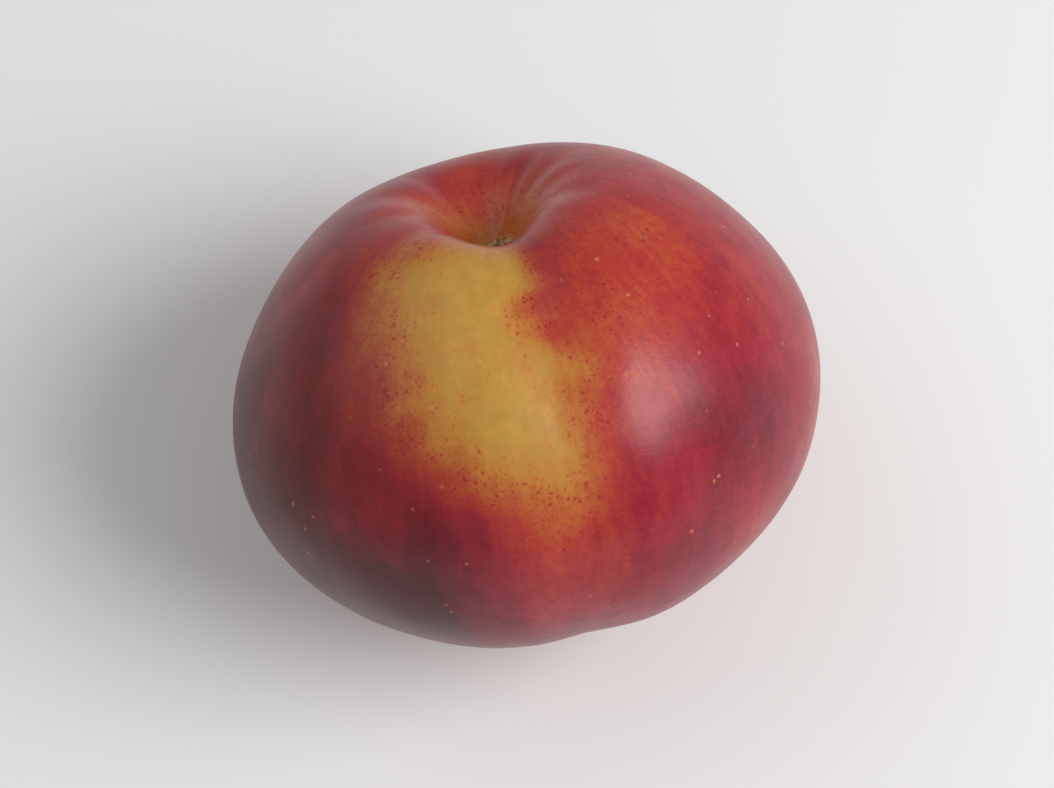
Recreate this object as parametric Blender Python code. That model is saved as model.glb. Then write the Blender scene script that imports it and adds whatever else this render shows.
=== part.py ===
"""A nectarine, as picked, lying on a small flat spot.

The fruit is one solid body.  Its skin is a sphere of directions, each pushed out to the radius
that fruit_radius() works out from the fruit's own sizes: an egg-like body with two unequal
cheeks, a suture that runs from the stem cavity down to the tip, a funnel for the stem, and a
small point where the flower was.  The body is then leaned over the way it lies, its underside
is cut to the flat spot it rests on, and the origin is put under the middle of its box.
"""
import math

import bmesh
import bpy
from mathutils import Matrix, Vector

MM = 0.001

# Body
CHEEK_WIDTH = 61.0 * MM         # over both cheeks, the widest way across
SUTURE_WIDTH = 55.4 * MM        # from the suture through to the back
AXIS_LENGTH = 49.0 * MM         # along the stem axis, with the stem cavity closed over
CHEEK_BIAS = 0.018              # how much fuller the +X cheek is, as a share of the radius
BACK_BIAS = 0.010               # how much fuller the back is
SHOULDER_SWELL = 1.2 * MM       # rise of the shoulders round the stem cavity
SHOULDER_AT = math.radians(36)  # from the stem
SHOULDER_SPREAD = math.radians(19)

# Stem cavity
CAVITY_DEPTH = 8.6 * MM
CAVITY_SPREAD = math.radians(14.5)
CAVITY_STRETCH = 0.14           # how much longer the cavity is along the suture

# Suture
SUTURE_DEPTH_STEM = 1.7 * MM    # where it leaves the cavity
SUTURE_DEPTH_SIDE = 0.45 * MM   # half way down
SUTURE_DEPTH_TIP = 0.25 * MM    # beside the tip
SUTURE_SPREAD = 4.2 * MM        # half width of the groove
SUTURE_LIP = 0.3 * MM           # rise of the flesh beside the groove
SUTURE_LIP_AT = 8.0 * MM
SUTURE_LIP_SPREAD = 4.0 * MM

# Tip
TIP_DIMPLE = 0.3 * MM
TIP_DIMPLE_SPREAD = math.radians(17)
TIP_POINT = 0.8 * MM
TIP_POINT_SPREAD = math.radians(5)

# How it lies
STEM_TILT = math.radians(47)    # of the stem from upright, away from the front
STEM_TURN = math.radians(14)    # of the leaning stem, to the left seen from above
SPIN = math.radians(3)          # of the suture about the stem
FLAT_DEPTH = 0.75 * MM          # height of the sliver of flesh that the flat spot takes away

# Mesh: 72 meridians and 50 parallels, about 7,000 triangles
MERIDIANS = 72
PARALLELS = 50

SKIN_COLOUR = (0.40, 0.055, 0.035, 1.0)
SKIN_ROUGHNESS = 0.38


def bell(value, spread):
    """A smooth hump: 1 at zero, falling to 1/e at the spread on either side."""
    return math.exp(-((value / spread) ** 2))


def body_radius(direction):
    """Radius of an ellipsoid of the three body sizes, with one cheek and the back fuller."""
    across = direction.x / (CHEEK_WIDTH / 2)
    through = direction.y / (SUTURE_WIDTH / 2)
    along = direction.z / (AXIS_LENGTH / 2)
    radius = 1 / math.sqrt(across ** 2 + through ** 2 + along ** 2)
    return radius * (1 + CHEEK_BIAS * direction.x + BACK_BIAS * direction.y)


def suture_change(from_stem, radius, direction):
    """Groove along the front meridian and the lips beside it, by arc distance from its plane.

    The depth goes from the stem's to the side's to the tip's value, and fades out behind.
    """
    front = 0.5 * (1 - math.tanh(6 * direction.y / max(math.sin(from_stem), 0.2)))
    aside = radius * direction.x
    down = from_stem / math.pi
    depth = SUTURE_DEPTH_SIDE
    depth += (SUTURE_DEPTH_STEM - SUTURE_DEPTH_SIDE) * bell(down - 0.14, 0.16)
    depth += (SUTURE_DEPTH_TIP - SUTURE_DEPTH_SIDE) * bell(down - 0.93, 0.12)
    groove = depth * bell(aside, SUTURE_SPREAD)
    lips = bell(aside - SUTURE_LIP_AT, SUTURE_LIP_SPREAD)
    lips += 0.6 * bell(aside + SUTURE_LIP_AT, SUTURE_LIP_SPREAD)
    return front * (SUTURE_LIP * math.sin(from_stem) * lips - groove)


def fruit_radius(direction):
    """Distance from the fruit's centre to its skin; +Z is the stem, -Y the suture."""
    from_stem = math.acos(max(-1.0, min(1.0, direction.z)))
    from_tip = math.pi - from_stem
    around = math.atan2(direction.x, -direction.y)
    radius = body_radius(direction)
    change = suture_change(from_stem, radius, direction)
    change += SHOULDER_SWELL * bell(from_stem - SHOULDER_AT, SHOULDER_SPREAD)
    cavity_spread = CAVITY_SPREAD * (1 + CAVITY_STRETCH * math.cos(2 * around))
    change -= CAVITY_DEPTH * bell(from_stem, cavity_spread)
    change -= TIP_DIMPLE * bell(from_tip, TIP_DIMPLE_SPREAD)
    change += TIP_POINT * bell(from_tip, TIP_POINT_SPREAD)
    return radius + change


def lying_turn():
    """Rotation from the upright fruit, suture to the front, to the way it lies."""
    spin = Matrix.Rotation(SPIN, 3, "Z")
    tilt = Matrix.Rotation(-STEM_TILT, 3, "X")
    turn = Matrix.Rotation(STEM_TURN, 3, "Z")
    return turn @ tilt @ spin


def cut_flat_spot(mesh):
    """Take the lowest sliver off with a level plane, close the cut and return its rim's corners."""
    level = min(vertex.co.z for vertex in mesh.verts) + FLAT_DEPTH
    everything = mesh.verts[:] + mesh.edges[:] + mesh.faces[:]
    down = Vector((0, 0, -1))
    cut = bmesh.ops.bisect_plane(
        mesh, geom=everything, dist=1e-7, plane_co=Vector((0, 0, level)), plane_no=down, clear_outer=True
    )
    rim = [item for item in cut["geom_cut"] if isinstance(item, bmesh.types.BMEdge)]
    bmesh.ops.holes_fill(mesh, edges=rim)
    return {corner for edge in rim for corner in edge.verts}


def centre_over_origin(mesh, rim):
    """Put the middle of the box's underside at the origin, with the rim exactly level at zero."""
    low = Vector([min(vertex.co[axis] for vertex in mesh.verts) for axis in range(3)])
    high = Vector([max(vertex.co[axis] for vertex in mesh.verts) for axis in range(3)])
    shift = Vector((-(low.x + high.x) / 2, -(low.y + high.y) / 2, -low.z))
    bmesh.ops.translate(mesh, verts=mesh.verts, vec=shift)
    for corner in rim:
        corner.co.z = 0.0


def skin_material():
    """Waxy red skin."""
    material = bpy.data.materials.new("nectarine_skin")
    material.use_nodes = True
    shader = material.node_tree.nodes["Principled BSDF"]
    shader.inputs["Base Color"].default_value = SKIN_COLOUR
    shader.inputs["Roughness"].default_value = SKIN_ROUGHNESS
    shader.inputs["Metallic"].default_value = 0.0
    return material


def make_nectarine(collection):
    """The whole fruit as one closed body."""
    mesh = bmesh.new()
    bmesh.ops.create_uvsphere(mesh, u_segments=MERIDIANS, v_segments=PARALLELS, radius=1.0)
    turn = lying_turn()
    for vertex in mesh.verts:
        direction = vertex.co.normalized()
        vertex.co = turn @ (direction * fruit_radius(direction))
    rim = cut_flat_spot(mesh)
    centre_over_origin(mesh, rim)
    data = bpy.data.meshes.new("nectarine")
    mesh.to_mesh(data)
    mesh.free()
    data.shade_smooth()
    data.set_sharp_from_angle(angle=math.radians(40))
    data.materials.append(skin_material())
    fruit = bpy.data.objects.new("nectarine", data)
    collection.objects.link(fruit)
    return fruit


def main():
    """Clear the scene and build the fruit in a collection of its own."""
    for leftover in list(bpy.data.objects):
        bpy.data.objects.remove(leftover, do_unlink=True)
    collection = bpy.data.collections.new("nectarine")
    bpy.context.scene.collection.children.link(collection)
    make_nectarine(collection)


main()
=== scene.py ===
import math

import bpy
import numpy as np
from mathutils import Matrix, Vector


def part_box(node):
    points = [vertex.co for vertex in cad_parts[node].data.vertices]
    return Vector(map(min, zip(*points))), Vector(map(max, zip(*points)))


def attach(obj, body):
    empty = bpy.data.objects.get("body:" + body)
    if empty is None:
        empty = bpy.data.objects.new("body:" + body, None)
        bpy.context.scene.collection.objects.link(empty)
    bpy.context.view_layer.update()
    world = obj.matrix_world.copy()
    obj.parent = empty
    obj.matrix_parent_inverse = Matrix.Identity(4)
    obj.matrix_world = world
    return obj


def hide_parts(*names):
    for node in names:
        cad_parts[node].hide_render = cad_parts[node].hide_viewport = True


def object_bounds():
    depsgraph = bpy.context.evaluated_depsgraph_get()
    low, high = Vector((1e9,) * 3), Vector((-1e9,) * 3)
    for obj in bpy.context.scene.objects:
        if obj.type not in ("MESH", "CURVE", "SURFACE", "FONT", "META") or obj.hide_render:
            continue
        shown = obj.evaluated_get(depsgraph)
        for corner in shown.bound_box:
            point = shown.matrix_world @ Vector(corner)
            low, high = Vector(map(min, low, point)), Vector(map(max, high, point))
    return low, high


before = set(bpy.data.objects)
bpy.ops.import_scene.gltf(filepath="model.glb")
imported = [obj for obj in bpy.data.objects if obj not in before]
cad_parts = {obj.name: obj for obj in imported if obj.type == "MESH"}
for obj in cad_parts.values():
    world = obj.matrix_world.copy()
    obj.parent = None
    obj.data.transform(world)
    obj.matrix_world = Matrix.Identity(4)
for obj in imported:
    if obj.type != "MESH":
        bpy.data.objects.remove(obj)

CAD_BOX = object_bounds()
MM = 0.001

# ---------------------------------------------------------------------------------------------
# The fruit's own sizes, the same as its solid's
# ---------------------------------------------------------------------------------------------

CHEEK_WIDTH = 61.0 * MM         # over both cheeks
SUTURE_WIDTH = 55.4 * MM        # from the suture through to the back
AXIS_LENGTH = 49.0 * MM         # along the stem axis, with the stem cavity closed over
CHEEK_BIAS = 0.018              # how much fuller the +X cheek is, as a share of the radius
BACK_BIAS = 0.010               # how much fuller the back is
SHOULDER_SWELL = 1.2 * MM       # rise of the shoulders round the stem cavity
SHOULDER_AT = math.radians(36)  # from the stem
SHOULDER_SPREAD = math.radians(19)

CAVITY_DEPTH = 8.6 * MM
CAVITY_SPREAD = math.radians(14.5)
CAVITY_STRETCH = 0.14           # how much longer the cavity is along the suture

SUTURE_DEPTH_STEM = 1.7 * MM    # where it leaves the cavity
SUTURE_DEPTH_SIDE = 0.45 * MM   # half way down
SUTURE_DEPTH_TIP = 0.25 * MM    # beside the tip
SUTURE_SPREAD = 4.2 * MM        # half width of the groove
SUTURE_LIP = 0.3 * MM           # rise of the flesh beside the groove
SUTURE_LIP_AT = 8.0 * MM
SUTURE_LIP_SPREAD = 4.0 * MM

TIP_DIMPLE = 0.3 * MM
TIP_DIMPLE_SPREAD = math.radians(17)
TIP_POINT = 0.8 * MM
TIP_POINT_SPREAD = math.radians(5)

STEM_TILT = math.radians(47)    # of the stem from upright, away from the front
STEM_TURN = math.radians(14)    # of the leaning stem, to the left seen from above
SPIN = math.radians(3)          # of the suture about the stem
FLAT_DEPTH = 0.75 * MM          # of the flat spot, from the lowest skin
FLAT_ROUNDING = 0.08 * MM       # of its rim

# ---------------------------------------------------------------------------------------------
# Finer than the solid: the skin's grid and the relief it carries.  The lengths of lumps,
# ripples, pores and folds are angles at the fruit's centre, in radians.
# ---------------------------------------------------------------------------------------------

MERIDIANS = 384
PARALLELS = 256

CREASE_DEPTH = 0.05 * MM        # fine line at the bottom of the suture
CREASE_SPREAD = 0.8 * MM
CREASE_SWAY = 0.5 * MM          # slow wander of the line to either side
CREASE_SHAKE = 0.3 * MM         # and a quicker one on it
LUMP_HEIGHT = 0.16 * MM
LUMP_LENGTH = 1.1               # about 30 mm from crest to crest
RIPPLE_HEIGHT = 0.035 * MM
RIPPLE_LENGTH = 0.36            # about 10 mm
PORE_HEIGHT = 0.006 * MM
PORE_LENGTH = 0.11              # about 3 mm
FOLD_HEIGHT = 0.16 * MM         # radial folds down the stem cavity
FOLD_LENGTH = 0.42

SCAR_RADIUS = 1.9 * MM          # corky disc where the stalk came away
SCAR_HEIGHT = 0.5 * MM
SCAR_PIT = 0.45 * MM            # depth, and its half width
SCAR_PIT_SPREAD = 0.5 * MM
SCAR_RIM = 0.12 * MM
SCAR_RIM_SPREAD = 0.3 * MM
SCAR_MOAT = 0.3 * MM
SCAR_MOAT_SPREAD = 0.4 * MM
SCAR_ROUGHNESS = 0.1 * MM       # height of its grain
SCAR_GRAIN = 0.55 * MM          # from crest to crest
STYLE_RADIUS = 0.45 * MM        # dry point where the flower was
STYLE_HEIGHT = 0.25 * MM


def bell(value, spread):
    """A smooth hump: 1 at zero, falling to 1/e at the spread on either side."""
    return np.exp(-((value / spread) ** 2))


def step_up(value, low, high):
    """0 below low, 1 above high, and the smooth cubic 3t^2 - 2t^3 between."""
    share = np.clip((value - low) / (high - low), 0.0, 1.0)
    return share * share * (3 - 2 * share)


def waves(points, length, count, seed):
    """Smooth noise, mostly from -1 to 1: a sum of plane sine waves in random directions.

    Each wave has a length near the one asked for, in the units of the points, and its own
    phase.  The sum is divided by the square root of their count.
    """
    draw = np.random.default_rng(seed)
    headings = draw.normal(size=(count, 3))
    headings /= np.linalg.norm(headings, axis=1, keepdims=True)
    rates = 2 * np.pi / (length * draw.uniform(0.75, 1.35, count))
    phases = draw.uniform(0, 2 * np.pi, count)
    total = np.zeros(points.shape[:-1])
    for heading, rate, phase in zip(headings, rates, phases):
        total += np.sin(rate * (points @ heading) + phase)
    return total / math.sqrt(count)


def unit(from_stem, around):
    """Direction at an angle from the stem and round from the suture, on the upright fruit."""
    sine = np.sin(from_stem)
    return np.stack([sine * np.sin(around), -sine * np.cos(around), np.cos(from_stem)], axis=-1)


def body_radius(direction):
    """Radius of an ellipsoid of the three body sizes, with one cheek and the back fuller."""
    sizes = np.array([CHEEK_WIDTH, SUTURE_WIDTH, AXIS_LENGTH]) / 2
    radius = 1 / np.sqrt(((direction / sizes) ** 2).sum(axis=-1))
    return radius * (1 + CHEEK_BIAS * direction[..., 0] + BACK_BIAS * direction[..., 1])


def suture_change(from_stem, radius, direction):
    """Groove along the front meridian with lips beside it, and a fine crease at its bottom.

    Each is a bell of the distance from the suture's plane.  The groove's depth goes from the
    stem's to the side's to the tip's value, and all of it fades out behind the fruit.
    """
    front = 0.5 * (1 - np.tanh(6 * direction[..., 1] / np.maximum(np.sin(from_stem), 0.2)))
    aside = radius * direction[..., 0]
    down = from_stem / np.pi
    depth = SUTURE_DEPTH_SIDE
    depth = depth + (SUTURE_DEPTH_STEM - SUTURE_DEPTH_SIDE) * bell(down - 0.14, 0.16)
    depth = depth + (SUTURE_DEPTH_TIP - SUTURE_DEPTH_SIDE) * bell(down - 0.93, 0.12)
    groove = depth * bell(aside, SUTURE_SPREAD)
    wander = CREASE_SWAY * np.sin(9 * from_stem) + CREASE_SHAKE * np.sin(23 * from_stem + 1)
    crease = CREASE_DEPTH * bell(aside - wander * np.sin(from_stem), CREASE_SPREAD)
    lips = bell(aside - SUTURE_LIP_AT, SUTURE_LIP_SPREAD)
    lips = lips + 0.6 * bell(aside + SUTURE_LIP_AT, SUTURE_LIP_SPREAD)
    return front * (SUTURE_LIP * np.sin(from_stem) * lips - groove - crease)


def stem_scar(reach, direction):
    """Rise of the stem scar, by distance from the stem axis.

    A low plateau with a rough top and a raised rim, a pit in its middle where the vessels
    were, and a moat round it.
    """
    plateau = SCAR_HEIGHT * (1 - step_up(reach, 0.72 * SCAR_RADIUS, 1.1 * SCAR_RADIUS))
    rim = SCAR_RIM * bell(reach - 0.78 * SCAR_RADIUS, SCAR_RIM_SPREAD)
    pit = SCAR_PIT * bell(reach, SCAR_PIT_SPREAD)
    moat = SCAR_MOAT * bell(reach - 1.3 * SCAR_RADIUS, SCAR_MOAT_SPREAD)
    rough = SCAR_ROUGHNESS * waves(direction * reach[..., None], SCAR_GRAIN, 24, 11)
    on_scar = 1 - step_up(reach, 0.8 * SCAR_RADIUS, 1.2 * SCAR_RADIUS)
    return plateau + rim - pit - moat + rough * on_scar


def cavity_folds(from_stem, around):
    """Folds that run down the wall of the stem cavity, from -1 to 1 and nil elsewhere."""
    ring = np.stack([np.sin(around), np.cos(around), 0.9 * from_stem], axis=-1)
    on_wall = bell(from_stem - 1.25 * CAVITY_SPREAD, 0.75 * CAVITY_SPREAD)
    return waves(ring, FOLD_LENGTH, 26, 9) * on_wall


def skin_radius(from_stem, around, direction):
    """Distance from the fruit's centre to its skin: the solid's form with the skin's relief."""
    from_tip = np.pi - from_stem
    radius = body_radius(direction)
    change = suture_change(from_stem, radius, direction)
    change += SHOULDER_SWELL * bell(from_stem - SHOULDER_AT, SHOULDER_SPREAD)
    cavity_spread = CAVITY_SPREAD * (1 + CAVITY_STRETCH * np.cos(2 * around))
    change -= CAVITY_DEPTH * bell(from_stem, cavity_spread)
    change -= TIP_DIMPLE * bell(from_tip, TIP_DIMPLE_SPREAD)
    change += TIP_POINT * bell(from_tip, TIP_POINT_SPREAD)

    change += LUMP_HEIGHT * waves(direction, LUMP_LENGTH, 14, 3)
    change += RIPPLE_HEIGHT * waves(direction, RIPPLE_LENGTH, 40, 5)
    change += PORE_HEIGHT * waves(direction, PORE_LENGTH, 60, 7)
    change += FOLD_HEIGHT * cavity_folds(from_stem, around)

    reach = (radius + change) * np.sin(from_stem)
    change += (from_stem < 0.5) * stem_scar(reach, direction)
    change += (from_tip < 0.3) * STYLE_HEIGHT * bell(reach, STYLE_RADIUS)
    return radius + change


def lying_turn():
    """Rotation from the upright fruit, suture to the front, to the way it lies."""
    spin = Matrix.Rotation(SPIN, 3, "Z")
    tilt = Matrix.Rotation(-STEM_TILT, 3, "X")
    turn = Matrix.Rotation(STEM_TURN, 3, "Z")
    return np.array(turn @ tilt @ spin)


def lay_down(points, box):
    """Turn the fruit to the way it lies, press its flat spot and fit it to the frame's box.

    The flat spot is height' = (height + sqrt(height^2 + rounding^2)) / 2, which is level below
    the cut and runs into the skin above it.
    """
    placed = points @ lying_turn().T
    height = placed[:, 2] - placed[:, 2].min() - FLAT_DEPTH
    placed[:, 2] = (height + np.sqrt(height ** 2 + FLAT_ROUNDING ** 2)) / 2
    low, high = placed.min(axis=0), placed.max(axis=0)
    box_low, box_high = np.array(box[0]), np.array(box[1])
    return box_low + (placed - low) / (high - low) * (box_high - box_low)


# ---------------------------------------------------------------------------------------------
# Where the colour lies: (degrees from the stem, degrees round from the suture, how far it
# reaches in degrees, how much more or less red pigment)
# ---------------------------------------------------------------------------------------------

PIGMENT = 0.62
# The plum cheek and its lower edge are partly painted shade: darker red on the left and low down.
PATCHES = (
    (90, -92, 36, 0.34),        # plum cheek: partly the skin's own deep red, partly painted shade on the side away from the key light
    (114, -48, 30, 0.34),       # its lower edge: partly the skin's own deep red, partly painted shade low down
    (84, 36, 24, 0.16),         # crimson cheek
    (46, 46, 26, -0.14),        # lighter shoulder over it
    (60, 13, 16, -0.17),        # rose strip beside the suture
    (100, -2, 19, -0.20),       # orange under the tip of the yellow
    (120, 26, 22, 0.12),        # deeper red low on the right
    (104, 158, 46, 0.24),       # dark back
    (118, 98, 26, -0.30),       # shaded window low on the far side
    (64, -150, 20, -0.20),      # and a small one behind
    (0, 0, 17, -0.42),          # stem cavity
    (180, 0, 16, -0.16),        # round the tip
)
DAPPLE = 0.05                   # unevenness over all of it
BROWN_SHADE_AT = (64, -62)            # where the red lies thin over green and looks brown, and painted shade on the left side away from the key light
BROWN_SHADE_REACH = 36

# The yellow wedge, in degrees from the stem and round from the suture
WEDGE_TOP = 20
WEDGE_BOTTOM = 98
WEDGE_WIDTH = 44                # at its widest
WEDGE_LEFT = -1                 # its left edge where it ends
WEDGE_RIGHT = 3                 # its right edge, at the top
WEDGE_NARROWING = 2             # of the right edge, lower down
WEDGE_SOFTNESS = 36             # of the left edge, at the top
WEDGE_SHARPNESS = 9             # of the right edge
WEDGE_SWAY = 2.5                # wander of its edges
WEDGE_SHAKE = 1.2


def angle_from(direction, stem_angle, round_angle):
    """Angle between each direction and the one these two, in degrees, point in."""
    centre = unit(math.radians(stem_angle), math.radians(round_angle))
    return np.arccos(np.clip(direction @ centre, -1, 1))


def yellow_wedge(from_stem, around, direction):
    """The shaded wedge left of the suture: wide at the shoulder and pointed towards the tip.

    Its right edge runs beside the suture and is the sharper one.  Its left edge comes in with a
    power of the distance from the stem, and is soft.  It fades out at both ends.
    """
    down = np.degrees(from_stem)
    aside = np.degrees(around)
    aside += WEDGE_SWAY * waves(direction, 0.5, 30, 21)
    aside += WEDGE_SHAKE * waves(direction, 0.16, 40, 25)
    share = np.clip((down - WEDGE_TOP) / (WEDGE_BOTTOM - WEDGE_TOP), 0, 1)
    left = WEDGE_LEFT - WEDGE_WIDTH * (1 - share ** 2.2)
    soft = WEDGE_SOFTNESS * (1 - 0.5 * share)
    right = WEDGE_RIGHT - WEDGE_NARROWING * step_up(down, 60, 95)
    inside = step_up(aside, left - soft, left + 0.7 * soft)
    inside *= 1 - step_up(aside, right - WEDGE_SHARPNESS, right + WEDGE_SHARPNESS)
    return inside * (1 - step_up(down, 68, 108)) * step_up(down, 12, 36)


def red_pigment_and_shade(from_stem, around, direction):
    """How much red pigment the skin holds, from 0 to about 1, with painted shade in the plum patches:
    broad patches, then the wedge.
    """
    amount = np.full(from_stem.shape, PIGMENT)
    for stem_angle, round_angle, reach, more in PATCHES:
        amount += more * bell(angle_from(direction, stem_angle, round_angle), math.radians(reach))
    amount += DAPPLE * waves(direction, 0.5, 30, 23)
    return np.clip(amount * (1 - 0.97 * yellow_wedge(from_stem, around, direction)), 0, 1.1)


def corkiness(from_stem, reach):
    """1 on the stem scar and on the dry point at the tip, and 0 on the skin."""
    scar = (from_stem < 1) * (1 - step_up(reach, 0.85 * SCAR_RADIUS, 1.2 * SCAR_RADIUS))
    point = (from_stem > 2) * (1 - step_up(reach, 0.6 * STYLE_RADIUS, 1.6 * STYLE_RADIUS))
    return scar + point


# ---------------------------------------------------------------------------------------------
# The skin's mesh
# ---------------------------------------------------------------------------------------------


def skin_angles():
    """Angles from the stem and round from the suture: the stem's pole, the rings, the tip's."""
    from_stem = np.linspace(0, np.pi, PARALLELS + 1)[1:-1]
    around = np.linspace(-np.pi, np.pi, MERIDIANS, endpoint=False)
    from_stem, around = np.meshgrid(from_stem, around, indexing="ij")
    from_stem = np.concatenate([[0.0], from_stem.ravel(), [np.pi]])
    around = np.concatenate([[0.0], around.ravel(), [0.0]])
    return from_stem, around


def skin_faces():
    """Four-sided faces between one ring and the next, and a fan of triangles at each pole."""
    rows = np.arange((PARALLELS - 1) * MERIDIANS).reshape(PARALLELS - 1, MERIDIANS) + 1
    after = np.roll(rows, -1, axis=1)
    last = rows.max() + 1
    quads = np.stack([rows[:-1], rows[1:], after[1:], after[:-1]], axis=-1).reshape(-1, 4)
    stem_end = np.stack([np.zeros(MERIDIANS, int), rows[0], after[0]], axis=-1)
    tip_end = np.stack([np.full(MERIDIANS, last), after[-1], rows[-1]], axis=-1)
    return quads.tolist() + stem_end.tolist() + tip_end.tolist()


def carry(mesh, name, vectors):
    """Store a vector at every corner of the mesh, for its finish to read."""
    attribute = mesh.attributes.new(name, "FLOAT_VECTOR", "POINT")
    attribute.data.foreach_set("vector", vectors.astype(np.float32).ravel())


def make_skin():
    """The fruit's skin as one closed grid.

    It carries "plan" (red pigment with some painted shade, cork, and brown that is partly painted
    shade) and
    "ring" (the way round as a point on a circle, with the angle from the stem), which streaks follow.
    """
    from_stem, around = skin_angles()
    direction = unit(from_stem, around)
    radius = skin_radius(from_stem, around, direction)
    points = lay_down(direction * radius[:, None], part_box("nectarine"))
    mesh = bpy.data.meshes.new("nectarine_skin")
    mesh.from_pydata(points.tolist(), [], skin_faces())
    mesh.shade_smooth()

    # red pigment, with painted shade from the plum patches on the left and low down
    pigment = red_pigment_and_shade(from_stem, around, direction)
    cork = corkiness(from_stem, radius * np.sin(from_stem))
    # brown over green on the left cheek, partly painted shade away from the key light
    brown = bell(angle_from(direction, *BROWN_SHADE_AT), math.radians(BROWN_SHADE_REACH))
    ring = np.stack([np.sin(around), np.cos(around), from_stem], axis=-1)
    ring[[0, -1], :2] = 0
    carry(mesh, "plan", np.stack([pigment, cork, brown], axis=-1))
    carry(mesh, "ring", ring)

    skin = bpy.data.objects.new("nectarine_skin", mesh)
    bpy.context.scene.collection.objects.link(skin)
    return skin


# ---------------------------------------------------------------------------------------------
# Finishes
# ---------------------------------------------------------------------------------------------


class Value:
    """A number over the surface.  Sums written with it add Math nodes to its finish."""

    def __init__(self, finish, socket):
        self.finish = finish
        self.socket = socket

    def math(self, operation, *others):
        """One Math node on this value and the others."""
        values = dict(enumerate([self, *others]))
        return self.finish.node("ShaderNodeMath", {"operation": operation}, values)

    def __add__(self, other):
        return self.math("ADD", other)

    def __sub__(self, other):
        return self.math("SUBTRACT", other)

    def __rsub__(self, other):
        return self.math("MULTIPLY", -1.0).math("ADD", other)

    def __mul__(self, other):
        return self.math("MULTIPLY", other)

    __radd__ = __add__
    __rmul__ = __mul__

    def between(self, low, high):
        """0 at low, 1 at high, smooth between; low may be the larger, which turns it round."""
        settings = {"interpolation_type": "SMOOTHSTEP"}
        values = {"Value": self, "From Min": low, "From Max": high}
        return self.finish.node("ShaderNodeMapRange", settings, values)


class Finish:
    """A material under construction: one method makes every node."""

    def __init__(self, name):
        self.material = bpy.data.materials.new(name)
        self.material.use_nodes = True
        self.tree = self.material.node_tree
        self.tree.nodes.clear()

    def node(self, kind, settings=None, values=None, output=0):
        """A node of this type with its settings, then the values or links of its sockets."""
        made = self.tree.nodes.new(kind)
        for name, setting in (settings or {}).items():
            if name == "stops":
                self.set_stops(made.color_ramp, setting)
            else:
                setattr(made, name, setting)
        for name, value in (values or {}).items():
            if isinstance(value, Value):
                self.tree.links.new(value.socket, made.inputs[name])
            else:
                made.inputs[name].default_value = value
        return Value(self, made.outputs[output]) if made.outputs else None

    def set_stops(self, ramp, stops):
        """Give a colour ramp its stops, each a place and a colour."""
        while len(ramp.elements) < len(stops):
            ramp.elements.new(1.0)
        for element, (place, colour) in zip(ramp.elements, stops):
            element.position = place
            element.color = colour

    def mix(self, factor, first, second):
        """Second over first by the factor, as colours."""
        values = {0: factor, 6: first, 7: second}
        return self.node("ShaderNodeMix", {"data_type": "RGBA"}, values, output=2)

    def noise(self, place, scale, detail=2.0, roughness=0.5):
        """Noise from 0 to 1 on a place."""
        values = {"Vector": place, "Scale": scale, "Detail": detail, "Roughness": roughness}
        return self.node("ShaderNodeTexNoise", {}, values)

    def cells(self, place, scale):
        """Distance to the nearest of many scattered points, in cells."""
        return self.node("ShaderNodeTexVoronoi", {"feature": "F1"}, {"Vector": place, "Scale": scale})

    def attribute(self, name):
        """The vector that the mesh carries under a name."""
        return self.node("ShaderNodeAttribute", {"attribute_name": name}, output=1)

    def part(self, vector, axis):
        """One component of a vector."""
        return self.node("ShaderNodeSeparateXYZ", {}, {0: vector}, output=axis)

    def stretch(self, vector, factors):
        """A vector times another, component by component."""
        return self.node("ShaderNodeVectorMath", {"operation": "MULTIPLY"}, {0: vector, 1: factors})


def linear(red, green, blue):
    """A colour given as it looks on a screen, 0 to 255, as the light values shaders take."""
    share = np.array([red, green, blue]) / 255
    light = np.where(share <= 0.04045, share / 12.92, ((share + 0.055) / 1.055) ** 2.4)
    return (*light.tolist(), 1.0)


# Skin by its red pigment, from bare yellow to plum
SKIN_RAMP = (
    (0.00, linear(197, 149, 66)),
    (0.16, linear(194, 129, 57)),
    (0.32, linear(186, 98, 48)),
    (0.48, linear(178, 58, 44)),
    (0.64, linear(152, 28, 44)),
    (0.82, linear(116, 12, 32)),
    (1.00, linear(78, 6, 20)),
)
OLIVE = linear(168, 132, 52)
# brown of red over green, also used as painted shade on the left cheek
BROWN = linear(96, 52, 32)
BLOOM = linear(190, 120, 136)
PORE = linear(214, 140, 92)
BARK_DARK = linear(112, 78, 46)
BARK_PALE = linear(204, 168, 118)

# Streaks run from stem to tip: how many there are round the fruit, and along it
STREAKS = (9.0, 9.0, 1.5)
FLECKS = (30.0, 30.0, 7.0)

# Other textures, in waves or cells to the metre
BLOOM_SCALE = 95.0
MOTTLE_SCALE = 260.0
PORE_CHOICE_SCALE = 330.0
PORE_SCALE = 430.0
CROWD_SCALE = 480.0             # where freckles and green gather
SPOT_SCALE = 1250.0             # larger freckles
GRAIN_SCALE = 1500.0
BARK_SCALE = 1900.0
SPECK_SCALE = 2300.0            # smaller freckles

SKIN_ROUGHNESS = 0.34
CORK_ROUGHNESS = 0.85
RELIEF_DEPTH = 0.05 * MM


def broken_red(finish, pigment, mottle, grain):
    """The pigment broken up by streaks and flecks from stem to tip, mottling and grain."""
    ring = finish.attribute("ring")
    streaks = finish.noise(finish.stretch(ring, STREAKS), 1.0, 4.0, 0.62)
    flecks = finish.noise(finish.stretch(ring, FLECKS), 1.0, 3.0, 0.6)
    red = pigment + (streaks - 0.5) * 0.26 + (flecks - 0.5) * 0.16 + (mottle - 0.5) * 0.26
    return red + (grain - 0.5) * 0.18


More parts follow.
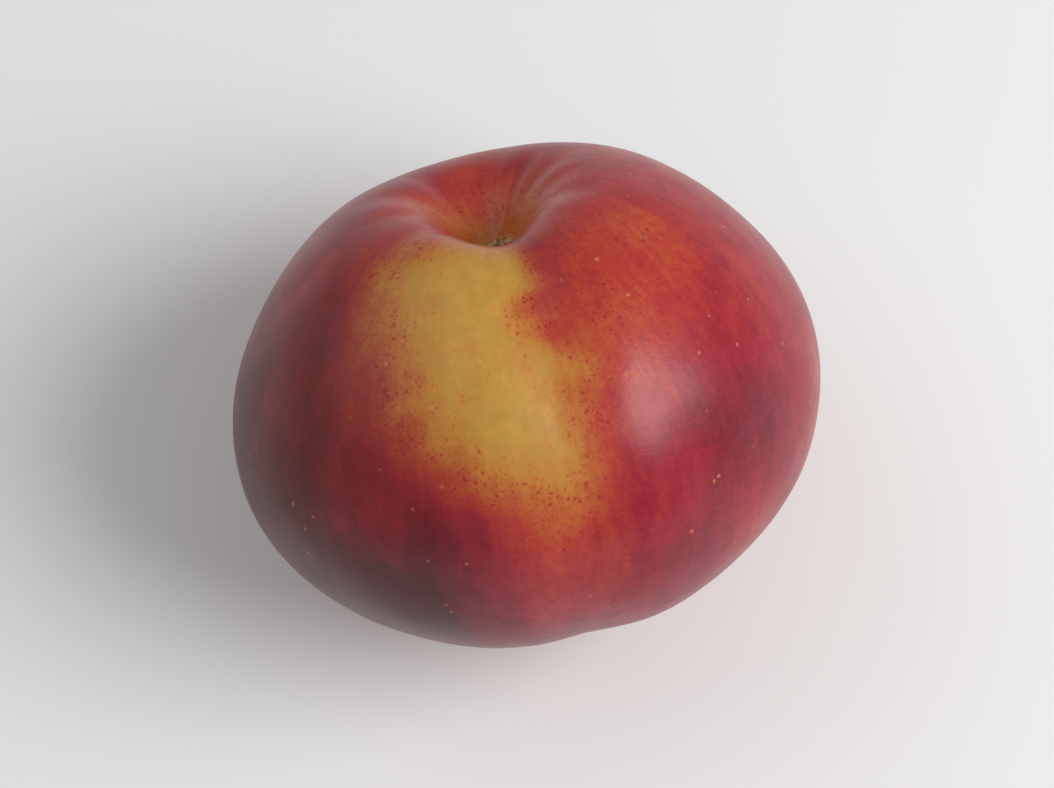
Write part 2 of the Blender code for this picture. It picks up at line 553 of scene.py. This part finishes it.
def freckles(finish, place, crowd, red):
    """Dots of two sizes where the skin is bare of red, crowded in some places."""
    spots = (finish.cells(place, SPOT_SCALE) + crowd * 0.6).between(0.56, 0.38)
    specks = (finish.cells(place, SPECK_SCALE) + crowd * 0.5).between(0.62, 0.36)
    return (spots + specks * 0.6) * (1.0 - red.between(0.34, 0.64))


def pale_pores(finish, place):
    """Small dots far apart, some cells having one and others none."""
    chosen = finish.noise(place, PORE_CHOICE_SCALE, 0.0).between(0.46, 0.62)
    return finish.cells(place, PORE_SCALE).between(0.13, 0.05) * chosen


def skin_colour(finish, place, red, brown, crowd):
    """Colour by red pigment, with olive in the yellow, brown over green that is partly painted shade,
    and a faint bloom.
    """
    colour = finish.node("ShaderNodeValToRGB", {"stops": SKIN_RAMP}, {0: red})
    olive = (1.0 - red.between(0.0, 0.35)) * crowd.between(0.3, 0.7)
    colour = finish.mix(olive * 0.42, colour, OLIVE)
    # partly painted shade: brown laid over the left cheek
    colour = finish.mix(brown * red.between(0.05, 0.5) * 0.42, colour, BROWN)
    bloom = finish.noise(place, BLOOM_SCALE, 3.0, 0.6).between(0.35, 0.75) * red.between(0.3, 0.7)
    return finish.mix(bloom * 0.06, colour, BLOOM)


def skin_finish():
    """Waxy skin: red pigment over yellow, freckles, pale pores, and cork at its two ends."""
    finish = Finish("nectarine_skin")
    place = finish.node("ShaderNodeTexCoord", {}, output=3)
    plan = finish.attribute("plan")
    pigment = finish.part(plan, 0)
    cork = finish.part(plan, 1)
    brown = finish.part(plan, 2)
    mottle = finish.noise(place, MOTTLE_SCALE, 4.0, 0.6)
    grain = finish.noise(place, GRAIN_SCALE, 2.0, 0.6)
    crowd = finish.noise(place, CROWD_SCALE, 2.0, 0.6)
    pores = pale_pores(finish, place)

    red = broken_red(finish, pigment, mottle, grain)
    red = red + freckles(finish, place, crowd, red) * (0.07 + 0.14 * red.between(0.0, 0.3))
    colour = skin_colour(finish, place, red, brown, crowd)
    colour = finish.mix(pores * 0.5, colour, PORE)
    fibres = finish.noise(place, BARK_SCALE, 4.0).between(0.35, 0.65)
    colour = finish.mix(cork, colour, finish.mix(fibres, BARK_DARK, BARK_PALE))

    rough = SKIN_ROUGHNESS + (mottle - 0.5) * 0.14 + pores * 0.18
    rough = rough + (CORK_ROUGHNESS - rough) * cork
    relief = (grain - 0.5) * 1.1 + (mottle - 0.5) * 0.6 - pores * 0.5
    bump = finish.node(
        "ShaderNodeBump", {}, {"Strength": 0.5, "Distance": RELIEF_DEPTH, "Height": relief}
    )
    shader = finish.node(
        "ShaderNodeBsdfPrincipled",
        {"subsurface_method": "RANDOM_WALK"},
        {
            "Base Color": colour,
            "Roughness": rough,
            "Normal": bump,
            "IOR": 1.37,
            "Subsurface Weight": 0.12,
            "Subsurface Radius": (1.0, 0.35, 0.2),
            "Subsurface Scale": 1.5 * MM,
            "Coat Weight": 0.08,
            "Coat Roughness": 0.25,
        },
    )
    finish.node("ShaderNodeOutputMaterial", {}, {"Surface": shader})
    return finish.material


def floor_finish():
    """Plain pale paper."""
    finish = Finish("pale_floor")
    shader = finish.node(
        "ShaderNodeBsdfPrincipled", {}, {"Base Color": (0.86, 0.86, 0.86, 1.0), "Roughness": 0.8}
    )
    finish.node("ShaderNodeOutputMaterial", {}, {"Surface": shader})
    return finish.material


# ---------------------------------------------------------------------------------------------
# Studio: a pale floor, a soft key from the right, a soft fill and an even sky
# ---------------------------------------------------------------------------------------------

FLOOR_SIZE = 4.0
LIGHTS = (                      # name, direction from the fruit, distance, width, power
    ("key", (0.67, -0.15, 0.72), 0.6, 0.42, 2.9),
    ("fill", (-0.7, 0.35, 0.75), 0.9, 0.9, 1.2),
)
SKY_STRENGTH = 0.34
VIEW_HEIGHT = math.radians(71)  # of the camera over the floor, seen from the fruit
VIEW_DISTANCE = 0.36
NEAREST_SEEN = 0.01
FRAME_WIDTH = 1054
FRAME_HEIGHT = 788
FRUIT_SHARE = 0.66              # of the frame's height
SENSOR_WIDTH = 36.0


def make_floor():
    """A level square under the fruit."""
    half = FLOOR_SIZE / 2
    corners = [(-half, -half, 0), (half, -half, 0), (half, half, 0), (-half, half, 0)]
    mesh = bpy.data.meshes.new("floor")
    mesh.from_pydata(corners, [], [(0, 1, 2, 3)])
    mesh.materials.append(floor_finish())
    floor = bpy.data.objects.new("floor", mesh)
    bpy.context.scene.collection.objects.link(floor)


def aim(item, target):
    """Turn a camera or light to look at a point."""
    item.rotation_euler = (Vector(target) - item.location).to_track_quat("-Z", "Y").to_euler()


def make_light(name, direction, distance, width, power, target):
    """A round soft light in a direction from the fruit."""
    lamp = bpy.data.lights.new(name, "AREA")
    lamp.shape = "DISK"
    lamp.size = width
    lamp.energy = power
    item = bpy.data.objects.new(name, lamp)
    item.location = Vector(target) + Vector(direction).normalized() * distance
    aim(item, target)
    bpy.context.scene.collection.objects.link(item)


def make_camera(target):
    """A camera in front of the fruit and high over it, with the fruit filling its share."""
    low, high = CAD_BOX
    camera = bpy.data.cameras.new("camera")
    camera.sensor_width = SENSOR_WIDTH
    seen = (high[1] - low[1]) / FRUIT_SHARE
    camera.lens = SENSOR_WIDTH * VIEW_DISTANCE / (seen * FRAME_WIDTH / FRAME_HEIGHT)
    camera.clip_start = NEAREST_SEEN
    item = bpy.data.objects.new("camera", camera)
    away = Vector((0, -math.cos(VIEW_HEIGHT), math.sin(VIEW_HEIGHT)))
    item.location = Vector(target) + away * VIEW_DISTANCE
    aim(item, target)
    bpy.context.scene.collection.objects.link(item)
    bpy.context.scene.camera = item


def make_sky():
    """An even, pale surround."""
    world = bpy.data.worlds.new("studio")
    world.use_nodes = True
    background = world.node_tree.nodes["Background"]
    background.inputs["Color"].default_value = (1.0, 1.0, 1.0, 1.0)
    background.inputs["Strength"].default_value = SKY_STRENGTH
    bpy.context.scene.world = world


def main():
    """The fruit's skin in place of its solid, on a floor, lit and seen."""
    bpy.context.scene.view_settings.view_transform = "Standard"
    skin = make_skin()
    skin.data.materials.append(skin_finish())
    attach(skin, "root")
    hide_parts("nectarine")

    low, high = CAD_BOX
    middle = [(low[axis] + high[axis]) / 2 for axis in range(3)]
    make_floor()
    make_sky()
    for light in LIGHTS:
        make_light(*light, middle)
    make_camera(middle)


main()
